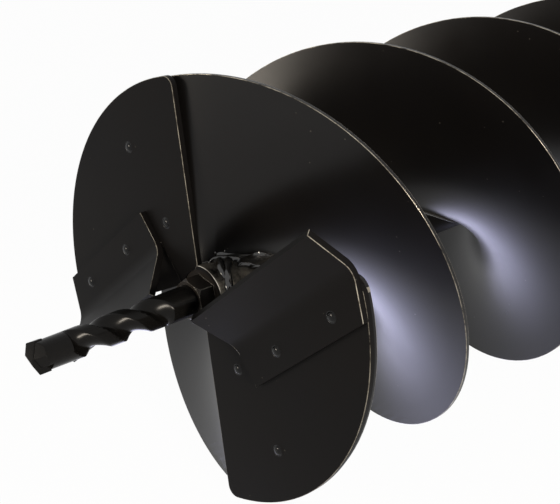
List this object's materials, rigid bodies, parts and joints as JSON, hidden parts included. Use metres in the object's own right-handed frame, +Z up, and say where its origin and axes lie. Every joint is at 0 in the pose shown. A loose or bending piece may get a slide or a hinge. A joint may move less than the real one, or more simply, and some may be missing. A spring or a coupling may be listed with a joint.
{
  "type": "earth auger bit",
  "caption": "Earth auger bit with twin helical flights on a tube stem, flat lead plates, bent cutting blades and a fluted pilot point; a bore in the rear end takes the drive shaft.",
  "frame": {"origin": "on the axis, at the mouth of the drive bore", "axes": "+X along the axis and out of the drive bore, tip towards -X; +Z up as the bit lies on the ground"},
  "size_m": [0.7991, 0.2012, 0.2],
  "materials": {
    "black_paint": "gloss black paint over steel, worn thin on the edges",
    "tip_steel": "painted hard steel tip with bare corners",
    "bush_steel": "bare turned steel in the bore"
  },
  "bodies": {
    "root": {"stem_tube": "black_paint", "drive_bush": "bush_steel", "socket_weld": "black_paint", "pilot_holder": "black_paint", "pilot_bit": "black_paint", "pilot_tip": "tip_steel", "flight_a_turn_1": "black_paint", "flight_a_turn_2": "black_paint", "flight_a_turn_3": "black_paint", "flight_b_turn_1": "black_paint", "flight_b_turn_2": "black_paint", "flight_b_turn_3": "black_paint", "lead_plate_a": "black_paint", "lead_plate_b": "black_paint", "blade_a": "black_paint", "blade_b": "black_paint", "blade_plugs_a": "black_paint", "blade_plugs_b": "black_paint", "plate_plugs_a": "black_paint", "plate_plugs_b": "black_paint", "lead_weld_a": "black_paint", "lead_weld_b": "black_paint", "root_weld_a": "black_paint", "root_weld_b": "black_paint"}
  },
  "joints": []
}
